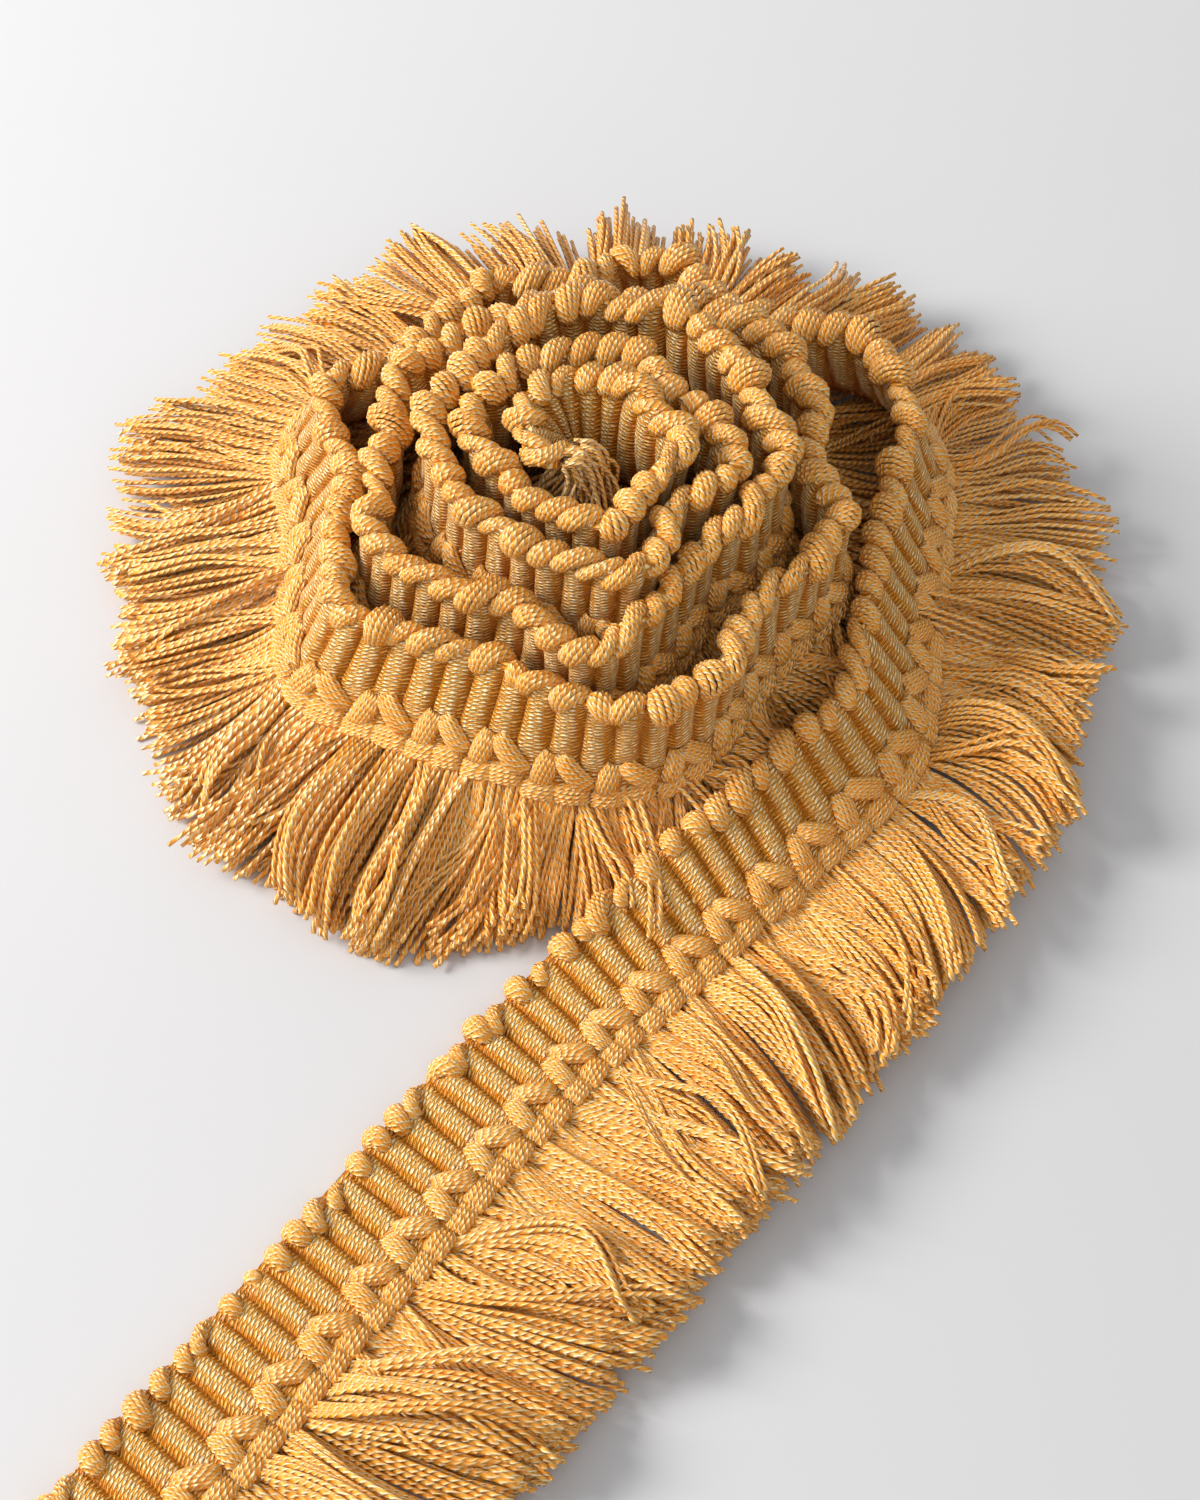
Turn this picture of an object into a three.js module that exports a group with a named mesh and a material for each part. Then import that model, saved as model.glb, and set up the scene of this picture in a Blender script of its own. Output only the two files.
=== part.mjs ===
// Cord fringe trim, wound into a loose roll that stands on its fringe, with the loose end lying flat.
// All sizes are in millimetres. X is to the right, Y to the back and Z up from the floor.
import * as THREE from 'three';

// The woven heading
const HEADING_WIDTH = 16;
const RIB_PITCH = 3.55;
const RIB_HALF = 1.4;
const GROOVE_HALF = 0.8;
const LOOP_HALF = 1.15;
const LOOP_DIP = 1.1;
const HOLLOW = 1.2;

// The narrow band that holds the fringe, parted from the heading by a seam
const BAND_WIDTH = 2.2;
const BAND_HALF = 1.1;
const SEAM_GAP = 0.5;

// The locks of the fringe, one to a rib
const LOCK_GAP = 0.7;
const TIP_THICKNESS = 1.8;
const TIP_NARROWING = 0.08;
const TIP_RAGGEDNESS = 0.07;
const OUTER_LOCK_STEPS = 3;
const INNER_LOCK_STEPS = 2;

// Turning angles where the loose end and the outer turn stop
const TAIL_STOPS_AT = -20;
const SKIRT_STOPS_AT = 345;

// How finely the winding is followed, and the lengths over which its bends are evened out
const STEP = RIB_PITCH / 16;
const EVEN_STANCE = 9;
const EVEN_OUTWARD = 28;

// Where the middle of the roll lies from the middle of the whole
const ROLL_X = 1.9;
const ROLL_Y = 40.6;

// The picot edge seen from above. Columns: turning angle in degrees, distance from the roll's middle.
const PLAN = [
  // the loose end, from its cut to the roll
  [-117.5, 150], [-114, 108], [-108, 74], [-100, 54.5], [-81.5, 39.5], [-59.5, 34], [-32, 34],
  // the outer turn, with two loops at the back and a bulge on the left
  [-10, 32], [12, 36], [30, 44], [42, 46], [60, 40.5], [70, 41], [79, 46.3], [86, 46.5], [95, 41.7],
  [103, 42.7], [110, 44.7], [120, 39.8], [132, 38], [147, 41.5], [166, 32.5], [182, 31.8], [205, 34.5],
  [218, 29.8], [245, 26.3], [275, 30.7], [292, 29.5], [320, 24.5],
  // the second turn, from its corner on the right
  [354, 29], [372, 26], [398, 32], [425, 33], [465, 32.5], [505, 32], [527, 27.6], [554, 28.9],
  [582, 23.3], [598, 21.5], [628, 25.3], [660, 18.3], [677, 16.3],
  // the third turn
  [694, 19], [722, 21.3], [740, 20.7], [765, 23], [790, 25], [820, 25.7], [870, 22.5], [905, 20],
  [950, 16.2], [998, 18.2], [1022, 13.7], [1040, 12.4],
  // the fourth turn
  [1068, 16], [1090, 14.5], [1120, 13.7], [1160, 17], [1205, 18.2], [1250, 16.5], [1310, 11.3],
  [1355, 12.3], [1395, 8.3],
  // the start in the middle
  [1440, 9.2], [1480, 8.7], [1520, 10.5], [1560, 12.7], [1600, 12], [1640, 8], [1665, 4],
];

// How the trim stands along the winding. Columns: turning angle, height of the picot edge, outward lean
// in degrees, reach of the fringe, sweep of its tips along the winding, height of the tips off the floor.
const STANCE = [
  [-118, RIB_HALF, 90, 23, 5, 0],
  [-110, RIB_HALF, 90, 24, 3, 0],
  [-102, RIB_HALF, 90, 24.5, -2, 0],
  [-91, 4.6, 78.5, 24, -4, 0],
  [-81, 7.2, 69, 24, -5.5, 0],
  [-59, 11, 54, 23, -8, 0],
  [-45, 12.5, 50, 22.5, -9, 0],
  [-31, 14, 46, 18.5, -9, 0],
  [-18, 15.5, 43, 17, -9, 0],
  [4, 18, 37, 21, -6, 0],
  [16, 20, 30, 22, -3, 0],
  [30, 22, 24, 17, 0, 0],
  [38, 23, 19, 15, 0, 0],
  [50, 24, 15, 21, 0, 3],
  [60, 24, 16, 23, 0, 6],
  [70, 24, 16, 23.5, 0, 7],
  [82, 24, 6, 23, 0, 7],
  [97, 24, 16, 24, 0, 7.5],
  [122, 24, 16, 24, 0, 7],
  [132, 23.5, 20, 23.5, 0, 5],
  [140, 23.5, 25, 22.5, 0, 3],
  [150, 23.5, 29, 22, 0, 1],
  [165, 23, 34, 23, 0, 0],
  [182, 23, 32, 22, 0, 0],
  [196, 23.5, 30, 17, 0, 0],
  [210, 23.5, 28, 20.5, 0, 0],
  [225, 24, 32, 20, 0, 0],
  [238, 24, 32, 23.5, 0, 0],
  [247, 24, 30, 23, 0, 0],
  [258, 23.5, 20, 18, 0, 0],
  [272, 23, 5, 10, 0, 0],
  [305, 25, 4, 9, 0, 0],
  [350, 27, 3, 11, 0, 0],
  [425, 30, 4, 15, 0, 0],
  [535, 28, 8, 15, 0, 0],
  [580, 28, 10, 14, 0, 0],
  [628, 28, 2, 11, 0, 0],
  [677, 32, 2, 9, 0, 0],
  [790, 36, 4, 10, 0, 0],
  [870, 34.5, 8, 10, 0, 0],
  [925, 33.5, 6, 9, 0, 0],
  [990, 33, 0, 8, 0, 0],
  [1060, 35, 0, 6, 0, 0],
  [1205, 35, 4, 7, 0, 0],
  [1340, 35, 0, 4, 0, 0],
  [1440, 37, 0, 2.5, 0, 0],
  [1665, 36, 0, 2.5, 0, 0],
];

const mix = (a, b, t) => a + (b - a) * t;
const ragged = (i) => Math.abs(Math.sin(i * 12.9898) * 43758.5453) % 1;

// Straight-line reading of one column of a table by its first column
function readTable(table, x, column) {
  if (x <= table[0][0]) return table[0][column];
  for (let i = 1; i < table.length; i += 1) {
    const [a, b] = [table[i - 1], table[i]];
    if (x <= b[0]) return mix(a[column], b[column], (x - a[0]) / (b[0] - a[0]));
  }
  return table[table.length - 1][column];
}

// Running mean over a length of the winding
function evenOut(values, length) {
  const reach = Math.round(length / STEP / 2);
  const last = values.length - 1;
  return values.map((_, i) => {
    let sum = 0;
    for (let k = -reach; k <= reach; k += 1) sum += values[Math.min(last, Math.max(0, i + k))];
    return sum / (2 * reach + 1);
  });
}

// The winding: edge points, directions at them, and how the fringe falls there
function followWinding() {
  const bends = PLAN.map(([degrees, radius]) => {
    const angle = THREE.MathUtils.degToRad(degrees);
    return new THREE.Vector3(radius * Math.cos(angle), radius * Math.sin(angle), 0);
  });
  const curve = new THREE.CatmullRomCurve3(bends, false, 'centripetal');
  curve.arcLengthDivisions = bends.length * 40;
  const count = Math.floor(curve.getLength() / STEP);
  const edge = [];
  const angles = [];
  for (let i = 0; i <= count; i += 1) {
    const t = curve.getUtoTmapping(i / count);
    edge.push(curve.getPoint(t));
    const place = t * (PLAN.length - 1);
    const row = Math.min(PLAN.length - 2, Math.floor(place));
    angles.push(mix(PLAN[row][0], PLAN[row + 1][0], place - row));
  }
  const column = (k, length) => evenOut(angles.map((angle) => readTable(STANCE, angle, k)), length);
  const heights = column(1, EVEN_STANCE);
  const leans = column(2, EVEN_STANCE).map(THREE.MathUtils.degToRad);
  const [reaches, sweeps, lifts] = [3, 4, 5].map((k) => column(k, EVEN_STANCE));
  edge.forEach((point, i) => point.set(point.x + ROLL_X, point.y + ROLL_Y, heights[i]));

  const along = edge.map((_, i) => {
    const ahead = edge[Math.min(count, i + 1)];
    return ahead.clone().sub(edge[Math.max(0, i - 1)]).normalize();
  });
  const outX = evenOut(along.map((v) => v.y), EVEN_OUTWARD);
  const outY = evenOut(along.map((v) => -v.x), EVEN_OUTWARD);
  return edge.map((point, i) => {
    const outward = new THREE.Vector3(outX[i], outY[i], 0).normalize();
    const down = outward.clone().multiplyScalar(Math.sin(leans[i]));
    down.z = -Math.cos(leans[i]);
    const normal = down.clone().cross(along[i]).normalize();
    const flat = THREE.MathUtils.smoothstep(leans[i], 1.0, Math.PI / 2);
    const hollow = HOLLOW * Math.cos(leans[i]);
    const fall = { reach: reaches[i], sweep: sweeps[i], lift: lifts[i] };
    return { point, outward, down, normal, flat, hollow, fall, along: along[i], angle: angles[i] };
  });
}

const WINDING = followWinding();
const LENGTH = (WINDING.length - 1) * STEP;
const RIBS = Math.floor(LENGTH / RIB_PITCH);

// The winding's station at a length along it
function stationAt(s) {
  return WINDING[Math.min(WINDING.length - 1, Math.max(0, Math.round(s / STEP)))];
}

// A point of the trim: depth is measured down from the picot edge, rise out of the face
function pointOf(station, depth, rise) {
  const q = depth / HEADING_WIDTH;
  const bow = station.hollow * 4 * q * (1 - q);
  return station.point.clone()
    .addScaledVector(station.down, depth)
    .addScaledVector(station.normal, rise - bow);
}

// A mesh under construction, with helpers for quads and closed rings
class Shell {
  constructor() {
    this.positions = [];
    this.triangles = [];
  }

  add(point) {
    this.positions.push(point.x, point.y, point.z);
    return this.positions.length / 3 - 1;
  }

  quad(a, b, c, d) {
    this.triangles.push(a, b, c, a, c, d);
  }

  bridge(from, to) {
    from.forEach((_, k) => {
      const next = (k + 1) % from.length;
      this.quad(from[k], from[next], to[next], to[k]);
    });
  }

  mesh(name, material) {
    const geometry = new THREE.BufferGeometry();
    geometry.setAttribute('position', new THREE.Float32BufferAttribute(this.positions, 3));
    geometry.setIndex(this.triangles);
    geometry.computeVertexNormals();
    const mesh = new THREE.Mesh(geometry, material);
    mesh.name = name;
    return mesh;
  }
}

// The heading: a ring at every groove and every crest, six points to a ring
function buildHeading(material) {
  const shell = new Shell();
  const foot = HEADING_WIDTH - BAND_WIDTH - SEAM_GAP;
  let previous = null;
  for (let i = 0; i <= RIBS * 2; i += 1) {
    const crest = i % 2 === 1;
    const station = stationAt(i * RIB_PITCH / 2);
    const levels = [
      [crest ? 0 : LOOP_DIP, crest ? LOOP_HALF : GROOVE_HALF * 0.8],
      [foot / 2, crest ? RIB_HALF : GROOVE_HALF],
      [foot, crest ? RIB_HALF * 0.9 : GROOVE_HALF],
    ];
    const front = levels.map(([depth, half]) => shell.add(pointOf(station, depth, half)));
    const back = levels.map(([depth, half]) => {
      return shell.add(pointOf(station, depth, -mix(half, RIB_HALF, station.flat)));
    });
    const ring = [...front, ...back.reverse()];
    if (previous) shell.bridge(previous, ring);
    else capRing(shell, ring, false);
    previous = ring;
  }
  capRing(shell, previous, true);
  return shell.mesh('heading', material);
}

// Closes the six-point ring at a cut end
function capRing(shell, ring, atEnd) {
  const quads = [[0, 1, 4, 5], [1, 2, 3, 4]];
  quads.forEach(([a, b, c, d]) => {
    if (atEnd) shell.quad(ring[a], ring[b], ring[c], ring[d]);
    else shell.quad(ring[a], ring[d], ring[c], ring[b]);
  });
}

// One side of a lock: front and back points at each step from the root to the tip
function lockSide(s, lock, steps) {
  const station = stationAt(s);
  const root = pointOf(station, HEADING_WIDTH, 0);
  const middle = stationAt((lock + 0.5) * RIB_PITCH);
  const reach = middle.fall.reach * (1 - TIP_RAGGEDNESS * ragged(lock));
  const tipHeight = TIP_THICKNESS / 2 + middle.fall.lift;
  const rings = [];
  for (let k = 1; k <= steps; k += 1) {
    const v = k / steps;
    const drop = (1 - v) * (1 - v);
    const out = 2 * 0.55 * reach * v * (1 - v) + reach * v * v;
    const slope = new THREE.Vector2(
      2 * 0.55 * reach * (1 - 2 * v) + 2 * reach * v,
      -2 * (1 - v) * (root.z - tipHeight),
    ).normalize();
    const half = mix(BAND_HALF, TIP_THICKNESS / 2, v);
    const height = Math.max(half, mix(tipHeight, root.z, drop));
    const centre = root.clone()
      .addScaledVector(station.outward, out)
      .addScaledVector(station.along, station.fall.sweep * v * v);
    centre.z = height;
    const rise = station.outward.clone().multiplyScalar(-slope.y);
    rise.z = slope.x;
    rings.push([
      centre.clone().addScaledVector(rise, half),
      centre.clone().addScaledVector(rise, -half),
    ]);
  }
  return rings;
}

// A length of fringe: the band with its locks, rib by rib
function buildFringe(name, firstRib, lastRib, steps, material) {
  const shell = new Shell();
  const top = HEADING_WIDTH - BAND_WIDTH;
  const bandRing = (s) => {
    const station = stationAt(s);
    const back = -mix(BAND_HALF, RIB_HALF, station.flat);
    return [
      shell.add(pointOf(station, top, BAND_HALF)),
      shell.add(pointOf(station, HEADING_WIDTH, BAND_HALF)),
      shell.add(pointOf(station, HEADING_WIDTH, back)),
      shell.add(pointOf(station, top, back)),
    ];
  };
  let previous = null;
  for (let rib = firstRib; rib < lastRib; rib += 1) {
    const starts = rib * RIB_PITCH + LOCK_GAP / 2;
    const ends = (rib + 1) * RIB_PITCH - LOCK_GAP / 2;
    const near = bandRing(starts);
    const far = bandRing(ends);
    if (previous) shell.bridge(previous, near);
    else shell.quad(near[0], near[3], near[2], near[1]);
    shell.quad(near[0], near[1], far[1], far[0]);
    shell.quad(near[2], near[3], far[3], far[2]);
    shell.quad(near[3], near[0], far[0], far[3]);
    let ring = [near[1], near[2], far[2], far[1]];
    const nearSide = lockSide(starts, rib, steps);
    const farSide = lockSide(ends, rib, steps);
    nearSide.forEach(([nearFront, nearBack], k) => {
      const [farFront, farBack] = farSide[k];
      const pull = TIP_NARROWING * (k + 1) / steps;
      const next = [
        shell.add(nearFront.clone().lerp(farFront, pull)),
        shell.add(nearBack.clone().lerp(farBack, pull)),
        shell.add(farBack.clone().lerp(nearBack, pull)),
        shell.add(farFront.clone().lerp(nearFront, pull)),
      ];
      shell.bridge(ring, next);
      ring = next;
    });
    shell.quad(ring[0], ring[1], ring[2], ring[3]);
    previous = far;
  }
  shell.quad(previous[0], previous[1], previous[2], previous[3]);
  return shell.mesh(name, material);
}

const headingYarn = new THREE.MeshStandardMaterial({ color: 0xc08a45, roughness: 0.75, metalness: 0 });
const fringeYarn = new THREE.MeshStandardMaterial({ color: 0xd6a050, roughness: 0.7, metalness: 0 });

const ribAt = (degrees) => {
  const place = WINDING.findIndex((station) => station.angle >= degrees);
  return Math.round(place * STEP / RIB_PITCH);
};
const skirtStart = ribAt(TAIL_STOPS_AT);
const innerStart = ribAt(SKIRT_STOPS_AT);

const trim = new THREE.Group();
trim.name = 'cord_fringe_trim';
trim.add(buildHeading(headingYarn));
trim.add(buildFringe('fringe_tail', 0, skirtStart, OUTER_LOCK_STEPS, fringeYarn));
trim.add(buildFringe('fringe_skirt', skirtStart, innerStart, OUTER_LOCK_STEPS, fringeYarn));
trim.add(buildFringe('fringe_inner', innerStart, RIBS, INNER_LOCK_STEPS, fringeYarn));

export default trim;
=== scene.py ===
"""Cord fringe trim, wound into a loose roll that stands on its fringe, with the loose end lying flat."""
import math

import bpy
import numpy as np
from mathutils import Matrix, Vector


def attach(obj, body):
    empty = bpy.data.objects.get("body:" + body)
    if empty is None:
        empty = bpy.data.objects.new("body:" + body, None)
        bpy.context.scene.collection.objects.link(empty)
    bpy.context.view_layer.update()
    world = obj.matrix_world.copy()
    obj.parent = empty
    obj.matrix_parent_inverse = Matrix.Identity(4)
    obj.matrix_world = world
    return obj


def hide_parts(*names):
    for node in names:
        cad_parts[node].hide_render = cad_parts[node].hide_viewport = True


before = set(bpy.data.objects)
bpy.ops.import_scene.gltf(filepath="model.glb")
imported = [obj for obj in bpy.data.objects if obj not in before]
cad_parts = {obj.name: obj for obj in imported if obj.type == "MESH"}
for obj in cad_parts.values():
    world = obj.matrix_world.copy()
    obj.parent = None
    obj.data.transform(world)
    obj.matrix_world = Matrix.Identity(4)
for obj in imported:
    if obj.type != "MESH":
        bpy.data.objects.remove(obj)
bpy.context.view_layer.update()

# All lengths are millimetres until they reach a mesh or the camera, except those of the floor and the lamps
MM = 0.001

# The woven heading. Depths are measured from the picot edge to the root of the fringe.
HEADING_WIDTH = 16
RIB_PITCH = 3.55
RIB_TOP = 1.7
RIB_FOOT = 9.8
LONGER_RIB = 1.2
BACK_FOOT = 13.5
RIB_RISE = 1.55
RIB_FILL = 0.9
RIB_ROUNDNESS = 2.2
RIB_END_SHARPNESS = 6
GROOVE_RISE = 0.45
PLAIN_RISE = 0.9
RIB_SLANT = 0.7
HOLLOW = 1.2
RIB_STEPS = 10
FACE_DEPTHS = [0.8, 1.5, 2, 2.1, 2.25, 2.5, 3.1, 4.2, 6, 7.8, 8.9, 9.4, 9.65, 9.8, 10, 11.2, 13.3, 15.4]
BACK_DEPTHS = [0.8, 2, 2.2, 2.8, 5, 8, 10.8, 12.8, 13.4, 15.4]

# How the picot edge sways to and fro. Columns: length of a sway, its size.
SWAY = [(9, 0.3), (13.5, 0.4), (21, 0.5)]

# The yarns, with the length in which their two plies turn once. Their twists start at unlike places.
YARN_RADIUS = 0.33
PICOT_RADIUS = 0.38
STRAND_RADIUS = 0.32
FRAY_RADIUS = 0.264
YARN_SIDES = 4
YARN_TURN = 1.7
STRAND_TURN = 2.4
TWIST_SHIFT = 1.7
TWIST_RANGE = 5

# The looped edge: a bundle of yarns bent over the edge at each rib
PICOT_YARNS = 9
PICOT_STEPS = 9
PICOT_DEPTH = 1.75
PICOT_SIZE = 1.18
PICOT_THICKNESS = 0.88
PICOT_SPREAD = 1.3
PICOT_SLANT = 1.2
PICOT_ALTERNATION = 0.1
PICOT_ARC = (155, -120)
FLAT_PICOT_NARROWING = 0.12
FLAT_PICOT_DROP = 0.3
FLAT_PICOT_RISE = 0.5

# The bundles below the ribs. Columns: where each begins and ends from the middle of its rib, along the
# strip and in depth, its width and its plumpness.
LEAVES = [((-0.9, 9.8), (-2.1, 14.0), 2.8, 1.4), ((-0.2, 9.8), (3.3, 13.3), 2.8, 1.6)]
FLOATS = [((-0.2, 14.9), (3.5, 14.4), 3.0, 1.0), ((-3.4, 15.0), (0.2, 14.6), 2.8, 0.9)]
LEAF_YARNS = 8
LEAF_STEPS = 8
FLOAT_YARNS = 7
FLOAT_STEPS = 7
BUNDLE_FOOT = 0.55
BUNDLE_SPREAD = 0.12

# The loose threads at the cut end
FRAYS = 90
FRAY_STEPS = 9
FRAY_HANG = (-2, 0, -11)

# The fringe: a lock leaves each rib, some of them parted in two, and some cross their neighbours. The rows
# give the distance between strands, from the lowest row of a lock to the highest.
FRINGE_BEND = 0.55
TIP_HEIGHT = 0.35
ROOT_THICKNESS = 1.1
LOCK_THICKNESS = 3.5
PARTED_SHARE = 0.35
CROSSING_SHARE = 0.25
TOGETHER = 0.8
TAIL_STOPS_AT = -20
SKIRT_STOPS_AT = 345
OUTER_ROWS = [0.58, 0.62, 0.62, 0.62, 0.62]
INNER_ROWS = [0.8, 0.8, 0.8]
OUTER_STRETCH = 1
INNER_STRETCH = 2.0
OUTER_STEPS = 11
INNER_STEPS = 7
ROOT_COVER = 0.3
ROOT_HOLD = 1.8

# How unevenly the tufts, the locks and the strands fall, most of it as spreads of random draws
SEED = 7
TUFT_LEAN = 1.6
TUFT_LIFT = 1.5
TUFT_ROLL = 0.4
LOCK_LEAN = 1.5
LOCK_LIFT = 1.0
LOCK_ROLL = 0.9
LOCK_WAVE = 1.3
LOCK_CURL = 7
LOCK_PERCH = 0.9
LOCK_LENGTH = 0.045
CROSSING_LEAN = 4.5
CROSSING_LIFT = 1.5
MOST_LEAN = 6.5
STRAND_PLACE = 0.1
STRAND_LEVEL = 0.25
STRAND_STRAY = 0.25
STRAND_RAGGED = 0.25
STRAND_LENGTH = 0.03
STRAND_THICKNESS = 0.06

# How finely the winding is followed, and the lengths over which its bends are evened out
STEP = RIB_PITCH / 16
EVEN_STANCE = 9
EVEN_OUTWARD = 28
CURVE_STEPS = 40

# Where the middle of the roll lies from the middle of the whole
ROLL_X = 1.9
ROLL_Y = 40.6

# The picot edge seen from above. Columns: turning angle in degrees, distance from the roll's middle.
PLAN = [
    # the loose end, from its cut to the roll
    (-117.5, 150), (-114, 108), (-108, 74), (-100, 54.5), (-81.5, 39.5), (-59.5, 34), (-32, 34),
    # the outer turn, with two loops at the back and a bulge on the left
    (-10, 32), (12, 36), (30, 44), (42, 46), (60, 40.5), (70, 41), (79, 46.3), (86, 46.5), (95, 41.7),
    (103, 42.7), (110, 44.7), (120, 39.8), (132, 38), (147, 41.5), (166, 32.5), (182, 31.8), (205, 34.5),
    (218, 29.8), (245, 26.3), (275, 30.7), (292, 29.5), (320, 24.5),
    # the second turn, from its corner on the right
    (354, 29), (372, 26), (398, 32), (425, 33), (465, 32.5), (505, 32), (527, 27.6), (554, 28.9),
    (582, 23.3), (598, 21.5), (628, 25.3), (660, 18.3), (677, 16.3),
    # the third turn
    (694, 19), (722, 21.3), (740, 20.7), (765, 23), (790, 25), (820, 25.7), (870, 22.5), (905, 20),
    (950, 16.2), (998, 18.2), (1022, 13.7), (1040, 12.4),
    # the fourth turn
    (1068, 16), (1090, 14.5), (1120, 13.7), (1160, 17), (1205, 18.2), (1250, 16.5), (1310, 11.3),
    (1355, 12.3), (1395, 8.3),
    # the start in the middle
    (1440, 9.2), (1480, 8.7), (1520, 10.5), (1560, 12.7), (1600, 12), (1640, 8), (1665, 4),
]

# How the trim stands along the winding. Columns: turning angle, height of the picot edge, outward lean
# in degrees, reach of the fringe (below zero where it hangs inwards), sweep of its tips along the winding,
# height of the tips off the floor.
STANCE = [
    (-118, 1.4, 90, 23, 5, 1),
    (-110, 1.4, 90, 24, 3, 1.5),
    (-102, 1.4, 90, 24.5, -2, 2),
    (-91, 4.6, 78.5, 24, -4, 2),
    (-81, 7.2, 69, 24, -5.5, 2),
    (-59, 11, 54, 23, -8, 2),
    (-45, 12.5, 50, 22.5, -9, 3),
    (-31, 14, 46, 18.5, -9, 3.5),
    (-18, 15.5, 43, 17, -9, 4),
    (4, 18, 37, 21, -6, 3),
    (16, 20, 30, 22, -3, 1.5),
    (30, 22, 24, 17, 0, 1),
    (38, 23, 19, 15, 0, 1),
    (50, 24, 15, 21, -4, 2),
    (60, 24, 16, 23, -5, 3),
    (70, 24, 16, 23.5, -4, 3.5),
    (82, 24, 6, 23, 0, 4),
    (97, 24, 16, 24, 3, 4.5),
    (122, 24, 16, 24, 5, 4),
    (132, 23.5, 20, 23.5, 4, 3),
    (140, 23.5, 25, 22.5, 2, 2),
    (150, 23.5, 29, 22, 0, 1),
    (165, 23, 34, 23, 0, 0),
    (182, 23, 32, 22, 0, 0),
    (196, 23.5, 30, 17, 0, 0),
    (210, 23.5, 28, 20.5, 0, 0),
    (225, 24, 32, 20, 0, 0),
    (238, 24, 32, 23.5, 0, 0),
    (247, 24, 30, 23, 0, 0),
    (258, 23.5, 20, 18, 0, 0),
    (272, 23, 5, 10, 0, 0),
    (305, 25, 4, 9, 0, 0),
    (350, 27, 3, 11, 0, 0),
    (425, 30, 4, 15, 0, 0),
    (535, 28, 8, 15, 0, 0),
    (580, 28, 10, 14, 0, 0),
    (628, 28, 2, 11, 0, 0),
    (677, 32, 2, 9, 0, 0),
    (790, 36, 4, 10, 0, 0),
    (870, 34.5, 8, 10, 0, 0),
    (925, 33.5, 6, 9, 0, 0),
    (990, 33, 0, 8, 0, 0),
    (1060, 35, 0, 6, 0, 0),
    (1205, 35, 4, 7, 0, 0),
    (1340, 35, 0, 4, 0, 0),
    (1440, 37, 0, 1, 0, 0),
    (1500, 37, 0, -3, 0, 0),
    (1600, 36, 0, -4, 0, 0),
    (1630, 36, 0, 6, 0, 0),
    (1665, 36, 0, 7, 0, 0),
]

# How far the foot of the innermost turn is tucked inwards. Columns: turning angle, degrees.
TUCK = [(1470, 0), (1540, 22), (1600, 40), (1665, 36)]

# The view
SENSOR = 36
FOCAL_LENGTH = 64.8
VIEW_TARGET = (ROLL_X - 0.6, ROLL_Y - 18.8, 0)
VIEW_DISTANCE = 336
VIEW_ELEVATION = 52

# The yarn's colours, from its valleys with painted shade to its crests with painted highlight, for the yarns
# and for the ribs
GOLD = [(0.05, (0.84, 0.25, 0.004)), (0.45, (0.93, 0.45, 0.05)), (0.95, (0.95, 0.77, 0.46))]
RIB_GOLD = [(0.1, (0.66, 0.2, 0.005)), (0.5, (0.9, 0.46, 0.055)), (0.9, (0.97, 0.82, 0.5))]
YARN_ROUGHNESS = 0.29
YARN_GLOSS = 0.65
RIB_ROUGHNESS = 0.32
RIB_GLOSS = 0.55
THREAD_PITCH = 0.52
DASH_PITCH = 0.56

# The floor and the light. Their places and sizes are in metres, the lamps' power in watts.
FLOOR_SIZE = 6
# the floor's greys, from the front to the painted light at the back
FLOOR_GREY = [(0.2, (0.57, 0.565, 0.57)), (1.0, (0.65, 0.645, 0.65))]
KEY_PLACE = (-0.72, 0.05, 0.45)
KEY_TARGET = (0, 0.02, 0)
KEY_SIZE = (0.36, 0.36)
KEY_POWER = 10.2
KEY_COLOUR = (1.0, 0.985, 0.97)
FILL_PLACE = (0.1, -0.9, 0.8)
FILL_TARGET = (0, 0, 0)
FILL_SIZE = (1.2, 1.0)
FILL_POWER = 3.2
FILL_COLOUR = (0.97, 0.98, 1.0)
SKY_COLOUR = (0.96, 0.98, 1.0, 1)
SKY_STRENGTH = 0.56


def read_table(table, x, column):
    """Straight-line reading of one column of a table by its first column."""
    rows = np.array(table, float)
    return np.interp(x, rows[:, 0], rows[:, column])


def unit(vectors):
    return vectors / np.maximum(np.linalg.norm(vectors, axis=-1, keepdims=True), 1e-9)


def even_out(values, length):
    """Running mean over a length of the winding."""
    reach = round(length / STEP / 2)
    padded = np.pad(values, reach, mode="edge")
    return np.convolve(padded, np.full(2 * reach + 1, 1 / (2 * reach + 1)), "valid")


def smooth_curve(points, steps):
    """A smooth curve through points, with its place along them."""
    ends = np.vstack([2 * points[0] - points[1], points, 2 * points[-1] - points[-2]])
    t = np.arange(steps)[:, None] / steps
    curve = []
    for before, start, end, after in zip(ends, ends[1:], ends[2:], ends[3:]):
        gap_a = math.dist(before, start) ** 0.5
        gap = math.dist(start, end) ** 0.5
        gap_b = math.dist(end, after) ** 0.5
        leave = ((start - before) / gap_a - (end - before) / (gap_a + gap) + (end - start) / gap) * gap
        arrive = ((end - start) / gap - (after - start) / (gap + gap_b) + (after - end) / gap_b) * gap
        bend = 3 * (end - start) - 2 * leave - arrive
        turn = 2 * (start - end) + leave + arrive
        curve.append(start + leave * t + bend * t**2 + turn * t**3)
    curve.append(points[-1:])
    places = np.arange((len(points) - 1) * steps + 1) / steps
    return np.vstack(curve), places


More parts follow.
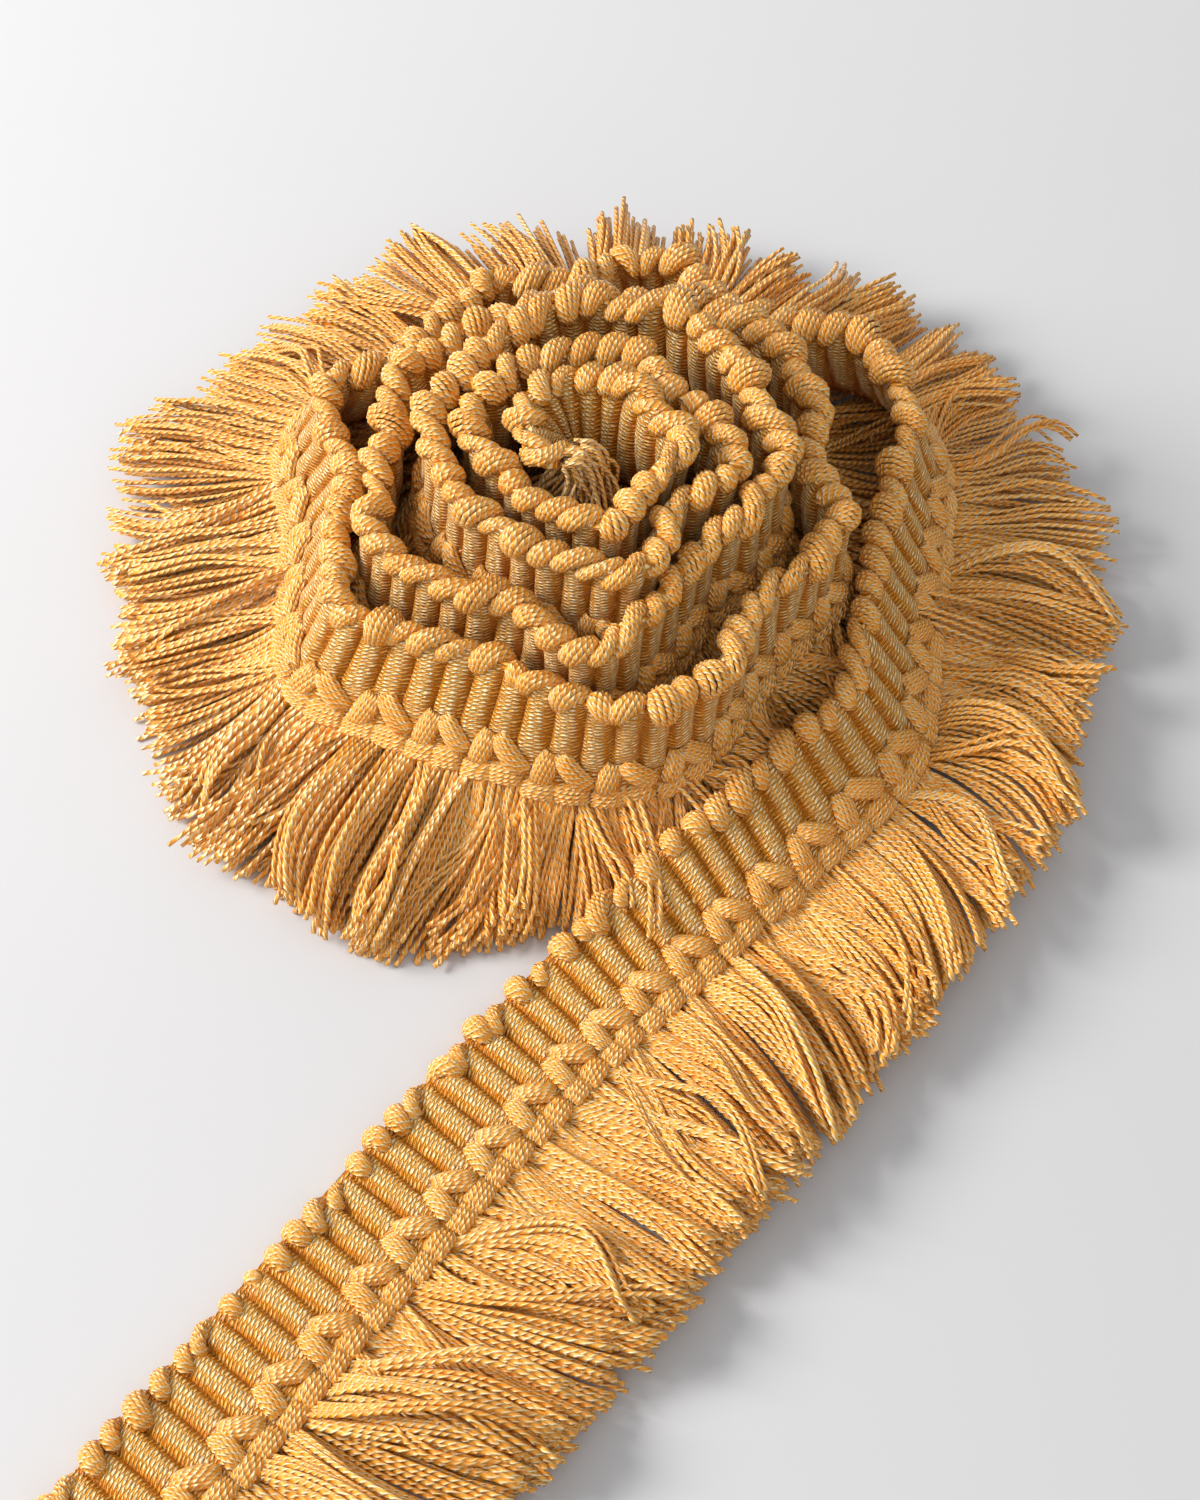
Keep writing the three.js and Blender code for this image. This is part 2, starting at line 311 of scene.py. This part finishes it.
def follow_winding():
    """The winding's columns, one row for each step along the picot edge."""
    angle, radius = np.array(PLAN, float).T
    turn = np.radians(angle)
    bends = np.stack([radius * np.cos(turn), radius * np.sin(turn)], axis=1)
    curve, places = smooth_curve(bends, CURVE_STEPS)
    run = np.concatenate([[0], np.cumsum(np.linalg.norm(np.diff(curve, axis=0), axis=1))])
    stations = np.linspace(0, run[-1], int(run[-1] / STEP) + 1)
    angles = np.interp(np.interp(stations, run, places), np.arange(len(angle)), angle)
    stance = [even_out(read_table(STANCE, angles, column), EVEN_STANCE) for column in range(1, 6)]
    lean = np.radians(stance[1] - even_out(read_table(TUCK, angles, 1), EVEN_STANCE))
    point = np.stack([
        np.interp(stations, run, curve[:, 0]) + ROLL_X,
        np.interp(stations, run, curve[:, 1]) + ROLL_Y,
        stance[0],
    ], axis=1)
    along = unit(np.gradient(point, axis=0))
    outward = unit(np.stack([
        even_out(along[:, 1], EVEN_OUTWARD),
        even_out(-along[:, 0], EVEN_OUTWARD),
        np.zeros(len(point)),
    ], axis=1))
    down = outward * np.sin(lean)[:, None] + np.outer(-np.cos(lean), (0, 0, 1))
    flat = np.clip((lean - 1) / (math.pi / 2 - 1), 0, 1)
    sway = sum(size * np.sin(2 * math.pi * stations / length + length) for length, size in SWAY)
    return {
        "point": point,
        "along": along,
        "outward": outward,
        "down": down,
        "normal": unit(np.cross(down, along)),
        "flat": flat * flat * (3 - 2 * flat),
        "hollow": HOLLOW * np.cos(lean),
        "sway": sway * np.cos(lean),
        "reach": stance[2],
        "sweep": stance[3],
        "lift": stance[4],
        "angle": angles,
    }


WINDING = follow_winding()
LENGTH = (len(WINDING["point"]) - 1) * STEP
RIBS = int(LENGTH / RIB_PITCH)


def at(name, s):
    """A column of the winding at lengths along it."""
    column = WINDING[name]
    place = np.clip(np.asarray(s, float) / STEP, 0, len(column) - 1.001)
    low = place.astype(int)
    part = place - low
    if column.ndim > 1:
        part = part[..., None]
    return column[low] * (1 - part) + column[low + 1] * part


def rib_at(degrees):
    """The rib nearest to where the winding reaches a turning angle."""
    return round(int(np.argmax(WINDING["angle"] >= degrees)) * STEP / RIB_PITCH)


def on_trim(s, depth, rise):
    """Points of the trim: depth is measured down from the picot edge, rise out of the face."""
    s, depth, rise = np.broadcast_arrays(s, depth, rise)
    s = s - RIB_SLANT * np.clip((depth - RIB_TOP) / (RIB_FOOT - RIB_TOP), 0, 1)
    q = np.clip(depth / HEADING_WIDTH, 0, 1)
    bow = at("hollow", s) * 4 * q * (1 - q) - at("sway", s) * (1 - q) ** 2
    return at("point", s) + at("down", s) * depth[..., None] + at("normal", s) * (rise - bow)[..., None]


def add_mesh(name, points, faces, uv, tone, material):
    """One piece from arrays. faces is a list of arrays of corners, uv has a row for each corner in turn."""
    corners = np.concatenate([f.ravel() for f in faces])
    sizes = np.concatenate([np.full(len(f), f.shape[1]) for f in faces])
    mesh = bpy.data.meshes.new(name)
    mesh.vertices.add(len(points))
    mesh.vertices.foreach_set("co", (points * MM).astype(np.float32).ravel())
    mesh.loops.add(len(corners))
    mesh.loops.foreach_set("vertex_index", corners.astype(np.int32))
    mesh.polygons.add(len(sizes))
    mesh.polygons.foreach_set("loop_start", (np.cumsum(sizes) - sizes).astype(np.int32))
    mesh.update(calc_edges=True)
    mesh.shade_smooth()
    layer = mesh.uv_layers.new(name="Yarn")
    layer.uv.foreach_set("vector", uv.astype(np.float32).ravel())
    mesh.attributes.new("tone", "FLOAT", "POINT").data.foreach_set("value", tone.astype(np.float32))
    mesh.materials.append(material)
    piece = bpy.data.objects.new(name, mesh)
    bpy.context.scene.collection.objects.link(piece)
    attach(piece, "root")
    return piece


def yarns(name, paths, across, radius, tone, material):
    """Many yarns as one mesh. paths is yarn by step by xyz, across a direction off each path."""
    sides = YARN_SIDES
    count, steps, _ = paths.shape
    radius = np.broadcast_to(radius, (count, steps))
    paths = paths.copy()
    paths[..., 2] = np.maximum(paths[..., 2], radius)
    along = unit(np.gradient(paths, axis=1))
    side = unit(np.cross(along, across))
    up = np.cross(side, along)
    turn = np.arange(sides) / sides * 2 * math.pi
    ring = np.cos(turn)[:, None] * side[:, :, None] + np.sin(turn)[:, None] * up[:, :, None]
    points = paths[:, :, None] + radius[..., None, None] * ring
    run = np.zeros((count, steps))
    run[:, 1:] = np.cumsum(np.linalg.norm(np.diff(paths, axis=1), axis=2), axis=1)
    run += np.arange(count)[:, None] * TWIST_SHIFT % TWIST_RANGE

    first = (np.arange(count)[:, None, None] * steps + np.arange(steps - 1)[:, None]) * sides
    k = np.arange(sides)
    ahead = (k + 1) % sides
    corners = [first + k, first + sides + k, first + sides + ahead, first + ahead]
    quads = np.stack(corners, axis=-1).reshape(-1, 4)
    starts = np.arange(count)[:, None] * steps * sides + k
    ends = (starts + (steps - 1) * sides)[:, ::-1]

    near = np.broadcast_to(run[:, :-1, None], (count, steps - 1, sides))
    far = np.broadcast_to(run[:, 1:, None], (count, steps - 1, sides))
    low = np.broadcast_to(k / sides, near.shape)
    high = np.broadcast_to((k + 1) / sides, near.shape)
    quad_uv = np.stack([near, low, far, low, far, high, near, high], axis=-1).reshape(-1, 2)
    start_uv = np.stack(np.broadcast_arrays(run[:, :1], k / sides), axis=-1).reshape(-1, 2)
    end_uv = np.stack(np.broadcast_arrays(run[:, -1:], k[::-1] / sides), axis=-1).reshape(-1, 2)
    uv = np.concatenate([quad_uv, start_uv, end_uv])
    tones = np.repeat(np.broadcast_to(tone, (count,)), steps * sides)
    return add_mesh(name, points.reshape(-1, 3), [quads, starts, ends], uv, tones, material)


def weave_rise(x, depth, foot):
    """Height of the weave above the middle of the cloth, x from -1 to 1 across a rib."""
    across = np.sqrt(np.clip(1 - np.abs(x / RIB_FILL) ** RIB_ROUNDNESS, 0, 1))
    middle = (RIB_TOP + foot) / 2
    half = (foot - RIB_TOP) / 2
    ends = np.sqrt(np.clip(1 - np.abs((depth - middle) / half) ** RIB_END_SHARPNESS, 0, 1))
    ground = np.where(np.abs(depth - middle) < half, GROOVE_RISE, PLAIN_RISE)
    return ground + (RIB_RISE - GROOVE_RISE) * across * ends


def make_weave(material):
    """The woven strip itself, ribbed on both faces."""
    x = np.append(np.tile(-np.cos(math.pi * np.arange(RIB_STEPS) / RIB_STEPS), RIBS), -1)[:, None]
    rib = np.append(np.repeat(np.arange(RIBS), RIB_STEPS), RIBS)[:, None]
    s = (rib + 0.5 + x / 2) * RIB_PITCH
    face_depth = np.array(FACE_DEPTHS)
    back_depth = np.array(BACK_DEPTHS)[::-1]
    foot = RIB_FOOT + LONGER_RIB * (rib % 2)
    face = on_trim(s, face_depth, weave_rise(x, face_depth, foot))
    back = on_trim(s, back_depth, -weave_rise(x, back_depth, BACK_FOOT))
    points = np.concatenate([face, back], axis=1)
    points[..., 2] = np.maximum(points[..., 2], 0)
    rings, ring = points.shape[:2]
    first = np.arange(rings - 1)[:, None] * ring
    k = np.arange(ring)
    ahead = (k + 1) % ring
    corners = [first + k, first + ahead, first + ring + ahead, first + ring + k]
    quads = np.stack(corners, axis=-1).reshape(-1, 4)
    caps = np.stack([k[::-1], k + (rings - 1) * ring])
    levels = np.concatenate([face_depth, back_depth])
    map_of = np.stack(np.broadcast_arrays(s, levels), axis=-1).reshape(-1, 2)
    uv = map_of[np.concatenate([quads.ravel(), caps.ravel()])]
    tone = np.zeros(rings * ring)
    return add_mesh("heading_weave", points.reshape(-1, 3), [quads, caps], uv, tone, material)


def make_picots(material, rng):
    """The looped edge: at each rib a round bundle of yarns leans over the edge and folds to the back."""
    ribs = np.arange(RIBS)
    middle = (ribs + 0.5) * RIB_PITCH + rng.normal(0, 0.15, RIBS)
    by_turns = np.where(ribs % 2, PICOT_ALTERNATION, -PICOT_ALTERNATION)
    size = PICOT_SIZE + rng.normal(0, 0.13, RIBS) + by_turns
    slant = PICOT_SLANT + rng.normal(0, 0.8, RIBS)
    drop = rng.normal(0, 0.25, RIBS)
    flat = at("flat", middle)
    size = size * (1 - FLAT_PICOT_NARROWING * flat)
    drop = drop + FLAT_PICOT_DROP * flat
    each = (middle, size, slant, drop)
    middle, size, slant, drop = [np.repeat(values, PICOT_YARNS)[:, None] for values in each]
    around = np.tile(np.radians(np.linspace(-105, 105, PICOT_YARNS)), RIBS)[:, None]
    turn = np.radians(np.linspace(*PICOT_ARC, PICOT_STEPS))
    thick = PICOT_THICKNESS * size * (0.75 + 0.25 * np.cos(turn))
    bend = size + thick * np.cos(around)
    s = middle + PICOT_SPREAD * thick * np.sin(around) - slant * np.sin(turn / 1.4)
    depth = PICOT_DEPTH + drop - bend * np.cos(turn)
    rise = bend * np.sin(turn) + FLAT_PICOT_RISE * at("flat", s)
    tone = rng.normal(0, 0.3, len(s))
    return yarns("picot_loops", on_trim(s, depth, rise), at("along", s), PICOT_RADIUS, tone, material)


def bundle(begin, end, width, plump, steps, count, rng):
    """A round bundle of yarns over every other rib, from one place to another, in s, depth and rise."""
    t = np.linspace(0, 1, steps)
    ribs = np.arange(0, RIBS, 2)
    middle = np.repeat((ribs + 0.5) * RIB_PITCH, count)[:, None]
    around = np.tile(np.radians(np.linspace(-80, 80, count)), len(ribs))[:, None]
    jitter = [np.repeat(rng.normal(0, BUNDLE_SPREAD, len(ribs)), count)[:, None] for _ in range(4)]
    run = end[0] - begin[0]
    fall = end[1] - begin[1]
    length = math.hypot(run, fall)
    belly = np.sin(math.pi * np.clip(0.05 + 0.9 * t, 0, 1)) ** 0.5
    aside = (width / 2 - YARN_RADIUS) * np.sin(around) * (0.7 + 0.3 * belly)
    s = middle + begin[0] + jitter[0] + (run + jitter[1]) * t + aside * fall / length
    depth = begin[1] + jitter[2] + (fall + jitter[3]) * t - aside * run / length
    rise = BUNDLE_FOOT + plump * belly * (0.3 + 0.7 * np.cos(around))
    return s, depth, rise


def make_leaves(material, rng):
    """The row of plump weft bundles below the ribs, in pairs that open downwards."""
    pairs = [bundle(*leaf, LEAF_STEPS, LEAF_YARNS, rng) for leaf in LEAVES]
    s, depth, rise = [np.concatenate(part) for part in zip(*pairs)]
    tone = rng.normal(0, 0.3, len(s))
    return yarns("weft_leaves", on_trim(s, depth, rise), at("normal", s), YARN_RADIUS, tone, material)


def make_floats(material, rng):
    """The band above the fringe: blocks of short threads along the strip, wide and narrow by turns."""
    blocks = [bundle(*block, FLOAT_STEPS, FLOAT_YARNS, rng) for block in FLOATS]
    s, depth, rise = [np.concatenate(part) for part in zip(*blocks)]
    tone = rng.normal(0, 0.25, len(s))
    return yarns("band_floats", on_trim(s, depth, rise), at("normal", s), YARN_RADIUS, tone, material)


def make_frays(material, rng):
    """Loose threads at the cut end in the middle of the roll."""
    t = np.linspace(0, 1, FRAY_STEPS)[:, None]
    s = LENGTH - rng.uniform(0, 3, FRAYS)
    root = on_trim(s, rng.uniform(0, 4, FRAYS), rng.normal(0, 0.7, FRAYS))[:, None]
    ahead = at("along", s)[:, None] * rng.uniform(0, 5, (FRAYS, 1, 1))
    swing = rng.normal(0, (3.5, 1.5, 1.5), (FRAYS, 1, 3)) + FRAY_HANG
    curl = rng.normal(0, 1.0, (FRAYS, 1, 3))
    paths = root + ahead * np.sqrt(t) + swing * t**2 + curl * np.sin(5 * t) * t
    # painted light: the loose threads are toned lighter than the other yarns because they lie in the shade
    # of the core
    tone = rng.normal(1.0, 0.5, FRAYS)
    across = np.array([0.3, 0.5, 0.8])
    return yarns("core_threads", paths, across, FRAY_RADIUS, tone, material)


def part_locks(first, last, rng):
    """Where the locks begin and end along the strip, and how each falls. Two to four ribs form a tuft."""
    ribs = np.arange(first, last)
    parted = ribs[rng.random(len(ribs)) < PARTED_SHARE] + rng.uniform(0.3, 0.7)
    edges = np.sort(np.concatenate([ribs, parted, [last]])) * RIB_PITCH
    middle = (edges[:-1] + edges[1:]) / 2
    count = len(middle)

    bounds = first * RIB_PITCH + np.cumsum(rng.integers(2, 5, len(ribs))) * RIB_PITCH
    tuft = np.searchsorted(bounds, middle)
    tuft_middle = np.array([middle[tuft == k].mean() for k in tuft])
    tuft_lean = rng.normal(0, TUFT_LEAN, len(bounds))[tuft]
    tuft_lift = rng.normal(0, TUFT_LIFT, len(bounds))[tuft]
    tuft_roll = rng.normal(0, TUFT_ROLL, len(bounds))[tuft]
    tuft_pull = rng.uniform(0.2, 0.85, len(bounds))[tuft]
    crossing = rng.random(count) < CROSSING_SHARE
    lean = tuft_lean + rng.normal(0, LOCK_LEAN, count) + crossing * rng.normal(0, CROSSING_LEAN, count)
    return edges, {
        "lean": np.clip(lean, -MOST_LEAN, MOST_LEAN),
        "wave": rng.normal(0, LOCK_WAVE, count),
        "phase": rng.uniform(0, 2 * math.pi, count),
        "roll": tuft_roll + rng.normal(0, LOCK_ROLL, count),
        "curl": rng.normal(0, LOCK_CURL, count),
        "lift": 0.5 + tuft_lift + rng.normal(0, LOCK_LIFT, count) + crossing * CROSSING_LIFT,
        "perch": np.abs(rng.normal(0, LOCK_PERCH, count)),
        "pull": tuft_pull * (middle - tuft_middle),
        "towards": 0.6 * (tuft_middle - middle),
        "gather": rng.uniform(0.15, 0.5, count),
        "longer": np.clip(rng.normal(0, LOCK_LENGTH, count), -0.09, 0.06),
    }


def fringe_row(edges, falls, stretch, share, pitch, steps, rng):
    """One row of strands through all locks, share from 0 in the lowest row to 1 in the highest."""
    s = np.arange(edges[0] + pitch / 2, edges[-1], pitch)
    s = s + rng.normal(0, STRAND_PLACE, len(s))
    lock = np.clip(np.searchsorted(edges, s) - 1, 0, len(edges) - 2)
    stir = 0.03 + 0.97 * share**1.5
    fall = {key: values[lock][:, None] * stir for key, values in falls.items()}
    phase = falls["phase"][lock][:, None]
    side = (s - (edges[lock] + edges[lock + 1]) / 2)[:, None]
    edge = side / ((edges[lock + 1] - edges[lock]) / 2)[:, None]
    rounding = np.sqrt(1.05 - 0.8 * np.minimum(1, edge**2))
    level = (2 * share - 1 + rng.normal(0, STRAND_LEVEL, (len(s), 1))) * rounding
    stray = rng.normal(0, STRAND_STRAY, (len(s), 1))
    ragged = rng.normal(0, STRAND_RAGGED, (len(s), 1))
    loose = rng.normal(0, STRAND_LENGTH, (len(s), 1))

    # how far out and how high the strand lies, v from 0 at its root to 1 at its tip
    v = np.linspace(0, 1, steps)
    arch = np.sin(math.pi * v**0.8)
    swell = np.minimum(1, 2 * v)
    turn = fall["roll"] * v
    drawn = fall["gather"] * np.sin(0.85 * math.pi * v)
    half = (ROOT_THICKNESS + (LOCK_THICKNESS - ROOT_THICKNESS) * swell) / 2 * (1 + drawn)
    reach = stretch * at("reach", s)[:, None] * (1 + fall["longer"] + loose)
    root = on_trim(s, HEADING_WIDTH - ROOT_COVER, ROOT_THICKNESS / 2 * level[:, 0])
    out = 2 * FRINGE_BEND * reach * v * (1 - v) + reach * v**2
    tip = TIP_HEIGHT + at("lift", s)[:, None]
    height = tip + (root[:, 2:] - tip) * (1 - v) ** 2
    height = height + half * (level * (np.cos(turn) - (1 - v) ** 2) + v) + side * np.sin(turn)
    height = height + fall["lift"] * arch + fall["perch"] * v**2

    # how far it strays along the strip
    aside = at("sweep", s)[:, None] * v**2 + fall["lean"] * v**1.5 + stray * v + ragged * v**4
    aside = aside + fall["wave"] * (np.sin(4.5 * v + phase) - np.sin(phase))
    aside = aside + fall["curl"] * np.maximum(0, v - 0.55) ** 2
    aside = aside - side * (1 - np.cos(turn) + 0.2 * share * (1 - v) + drawn)
    closing = np.sin(0.5 * math.pi * np.minimum(1, 1.3 * v))
    aside = aside - fall["pull"] * closing - half * level * np.sin(turn)

    # the strands of a lock share its direction, and the locks of a tuft lean towards each other
    faced = s + (fall["towards"] - TOGETHER * share * side)[:, 0]
    outward = at("outward", faced)[:, None]
    along = at("along", faced)[:, None]
    paths = root[:, None] + out[..., None] * outward + aside[..., None] * along
    paths[..., 2] = height
    hidden = on_trim(s, HEADING_WIDTH - ROOT_HOLD, ROOT_THICKNESS / 2 * level[:, 0])
    return np.concatenate([hidden[:, None], paths], axis=1)


def make_fringe(name, first, last, pitches, stretch, steps, material, rng):
    """Rows of strands from the lowest to the highest, each with its own distance between strands."""
    edges, falls = part_locks(first, last, rng)
    shares = np.linspace(0, 1, len(pitches))
    rows = []
    for share, pitch in zip(shares, pitches):
        rows.append(fringe_row(edges, falls, stretch, share, pitch, steps, rng))
    paths = np.concatenate(rows)
    radius = STRAND_RADIUS * (1 + rng.normal(0, STRAND_THICKNESS, (len(paths), 1)))
    tone = rng.normal(0, 0.35, len(paths))
    across = np.array([0.0, 0.0, 1.0]) + 0.01
    return yarns(name, paths, across, radius, tone, material)


class Shader:
    """A material's node tree, with short ways to add its nodes."""

    def __init__(self, name):
        self.material = bpy.data.materials.new(name)
        self.material.use_nodes = True
        self.tree = self.material.node_tree
        self.tree.nodes.clear()
        self.surface = self.add("ShaderNodeBsdfPrincipled")
        output = self.add("ShaderNodeOutputMaterial")
        self.join(self.surface.outputs["BSDF"], output.inputs["Surface"])

    def add(self, kind, **settings):
        node = self.tree.nodes.new(kind)
        for key, value in settings.items():
            setattr(node, key, value)
        return node

    def join(self, source, target):
        if hasattr(source, "links"):
            self.tree.links.new(source, target)
        else:
            target.default_value = source

    def math(self, operation, *values):
        node = self.add("ShaderNodeMath", operation=operation)
        for value, socket in zip(values, node.inputs):
            self.join(value, socket)
        return node.outputs[0]

    def attribute(self, name):
        return self.add("ShaderNodeAttribute", attribute_name=name).outputs["Fac"]

    def map_axes(self):
        spot = self.add("ShaderNodeUVMap", uv_map="Yarn").outputs["UV"]
        axes = self.add("ShaderNodeSeparateXYZ")
        self.join(spot, axes.inputs[0])
        return axes.outputs[0], axes.outputs[1]

    def noise(self, vector, scale, detail=2):
        node = self.add("ShaderNodeTexNoise")
        self.join(vector, node.inputs["Vector"])
        node.inputs["Scale"].default_value = scale
        node.inputs["Detail"].default_value = detail
        return node.outputs["Fac"]

    def vector(self, x, y, z=0.0):
        node = self.add("ShaderNodeCombineXYZ")
        for value, socket in zip((x, y, z), node.inputs):
            self.join(value, socket)
        return node.outputs[0]

    def ramp(self, value, stops):
        node = self.add("ShaderNodeValToRGB")
        elements = node.color_ramp.elements
        while len(elements) < len(stops):
            elements.new(0.5)
        for element, (place, colour) in zip(elements, stops):
            element.position = place
            element.color = (*colour, 1)
        self.join(value, node.inputs["Fac"])
        return node.outputs["Color"]

    def bump(self, height, distance):
        node = self.add("ShaderNodeBump")
        node.inputs["Distance"].default_value = distance * MM
        self.join(height, node.inputs["Height"])
        self.join(node.outputs["Normal"], self.surface.inputs["Normal"])

    def uniform(self, **values):
        for key, value in values.items():
            self.surface.inputs[key.replace("_", " ")].default_value = value


def yarn_material(name, stops, turn):
    """Two-ply twisted yarn, bumped along its plies: the plies' crests are painted lighter as painted
    highlight, the valleys between them darker as painted shade.
    """
    shader = Shader(name)
    run, around = shader.map_axes()
    tone = shader.attribute("tone")
    place = shader.vector(shader.math("MULTIPLY", run, 0.22), shader.math("MULTIPLY", tone, 40.0))
    uneven = shader.noise(place, 1.0, 1)
    phase = shader.math("SUBTRACT", around, shader.math("DIVIDE", run, turn))
    phase = shader.math("MULTIPLY_ADD", uneven, 1.2, phase)
    wave = shader.math("COSINE", shader.math("MULTIPLY", phase, 4 * math.pi))
    ply = shader.math("POWER", shader.math("MULTIPLY_ADD", wave, 0.5, 0.5), 1.8)
    grain = shader.vector(shader.math("MULTIPLY", phase, 16.0), shader.math("MULTIPLY", run, 0.5))
    fibres = shader.noise(grain, 1.6, 3)
    # painted highlight on the ply crests and painted shade in their valleys, with fibre grain and a random
    # tone per yarn
    lightness = shader.math("MULTIPLY_ADD", ply, 0.6, shader.math("MULTIPLY", fibres, 0.5))
    lightness = shader.math("MULTIPLY_ADD", tone, 0.2, lightness)
    shader.join(shader.ramp(lightness, stops), shader.surface.inputs["Base Color"])
    shader.bump(shader.math("MULTIPLY_ADD", fibres, 0.3, ply), 0.2)
    shader.uniform(Roughness=YARN_ROUGHNESS, Specular_IOR_Level=YARN_GLOSS)
    return shader.material


def weave_material(stops):
    """Fine threads that run along the strip over each rib, with painted highlight dashes on the thread
    crests, painted shade in the grooves and painted shade below the ribs.
    """
    shader = Shader("rib_weave")
    run, depth = shader.map_axes()
    grain = shader.vector(shader.math("MULTIPLY", run, 0.8), shader.math("MULTIPLY", depth, 2.0))
    wander = shader.noise(grain, 1.4, 3)
    shifted = shader.math("MULTIPLY_ADD", wander, 0.6, depth)
    crest = shader.math("COSINE", shader.math("MULTIPLY", shifted, math.pi / THREAD_PITCH))
    thread = shader.math("ABSOLUTE", crest)
    fall = shader.math("MULTIPLY", shifted, math.pi / DASH_PITCH)
    slant = shader.math("MULTIPLY_ADD", run, math.pi, fall)
    dash = shader.math("ABSOLUTE", shader.math("COSINE", slant))
    # painted shade: the colour gets darker towards the grooves between the ribs
    side = shader.math("ABSOLUTE", shader.math("COSINE", shader.math("MULTIPLY", run, math.pi / RIB_PITCH)))
    groove_shade = shader.math("POWER", side, 4.0)
    # painted shade on the plain cloth below the ribs, standing in for its shaded holes
    below = shader.math("GREATER_THAN", depth, RIB_FOOT + LONGER_RIB)
    # painted highlight: bright dashes where the thread crests meet the slanted dashes; the same pattern also
    # shapes the bump
    glint = shader.math("MULTIPLY", thread, dash)
    lightness = shader.math("MULTIPLY_ADD", wander, 0.4, shader.math("MULTIPLY", glint, 0.9))
    lightness = shader.math("MULTIPLY_ADD", groove_shade, -0.5, lightness)
    lightness = shader.math("MULTIPLY_ADD", below, -0.2, lightness)
    shader.join(shader.ramp(lightness, stops), shader.surface.inputs["Base Color"])
    shader.bump(shader.math("MULTIPLY_ADD", thread, 0.4, glint), 0.35)
    shader.uniform(Roughness=RIB_ROUGHNESS, Specular_IOR_Level=RIB_GLOSS)
    return shader.material


def make_floor():
    """A plain pale floor, with painted light that makes it a little lighter at the back."""
    bpy.ops.mesh.primitive_plane_add(size=FLOOR_SIZE)
    floor = bpy.context.object
    floor.name = "floor"
    shader = Shader("floor_paper")
    place = shader.add("ShaderNodeTexCoord").outputs["Object"]
    axes = shader.add("ShaderNodeSeparateXYZ")
    shader.join(place, axes.inputs[0])
    # painted light: the floor's colour gets lighter towards the back, with fine random noise
    far = shader.math("MULTIPLY_ADD", axes.outputs[1], 3.0, 0.2)
    shade = shader.math("MULTIPLY_ADD", shader.noise(place, 40, 2), 0.1, far)
    shader.join(shader.ramp(shade, FLOOR_GREY), shader.surface.inputs["Base Color"])
    shader.uniform(Roughness=0.6, Specular_IOR_Level=0.2)
    floor.data.materials.append(shader.material)


def add_light(name, place, target, size, power, colour):
    lamp = bpy.data.lights.new(name, "AREA")
    lamp.shape = "RECTANGLE"
    lamp.size, lamp.size_y = size
    lamp.energy = power
    lamp.color = colour
    light = bpy.data.objects.new(name, lamp)
    light.location = place
    light.rotation_euler = (Vector(target) - Vector(place)).to_track_quat("-Z", "Y").to_euler()
    bpy.context.scene.collection.objects.link(light)


def light_scene():
    """A soft key light from the left, a wide fill from the front and an even sky."""
    add_light("key", KEY_PLACE, KEY_TARGET, KEY_SIZE, KEY_POWER, KEY_COLOUR)
    add_light("fill", FILL_PLACE, FILL_TARGET, FILL_SIZE, FILL_POWER, FILL_COLOUR)
    world = bpy.data.worlds.new("soft_room")
    world.use_nodes = True
    sky = world.node_tree.nodes["Background"]
    sky.inputs["Color"].default_value = SKY_COLOUR
    sky.inputs["Strength"].default_value = SKY_STRENGTH
    bpy.context.scene.world = world
    bpy.context.scene.view_settings.view_transform = "Standard"


def make_camera():
    camera = bpy.data.cameras.new("camera")
    camera.sensor_width = SENSOR
    camera.lens = FOCAL_LENGTH
    view = bpy.data.objects.new("camera", camera)
    tilt = math.radians(VIEW_ELEVATION)
    away = Vector((0, -math.cos(tilt), math.sin(tilt))) * VIEW_DISTANCE
    view.location = (Vector(VIEW_TARGET) + away) * MM
    view.rotation_euler = (math.pi / 2 - tilt, 0, 0)
    bpy.context.scene.collection.objects.link(view)
    bpy.context.scene.camera = view


make_camera()
gold = yarn_material("heading_yarn", GOLD, YARN_TURN)
strand = yarn_material("fringe_yarn", GOLD, STRAND_TURN)
ribbed = weave_material(RIB_GOLD)
tail_end = rib_at(TAIL_STOPS_AT)
skirt_end = rib_at(SKIRT_STOPS_AT)
rng = np.random.default_rng(SEED)

weave = make_weave(ribbed)
picots = make_picots(gold, rng)
leaves = make_leaves(gold, rng)
floats = make_floats(gold, rng)
frays = make_frays(gold, rng)
tail = make_fringe("tail_fringe", 0, tail_end, OUTER_ROWS, OUTER_STRETCH, OUTER_STEPS, strand, rng)
skirt = make_fringe("skirt_fringe", tail_end, skirt_end, OUTER_ROWS, OUTER_STRETCH, OUTER_STEPS, strand, rng)
inner = make_fringe("inner_fringe", skirt_end, RIBS, INNER_ROWS, INNER_STRETCH, INNER_STEPS, strand, rng)

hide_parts("heading")
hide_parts("fringe_tail")
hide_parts("fringe_skirt")
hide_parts("fringe_inner")

make_floor()
light_scene()
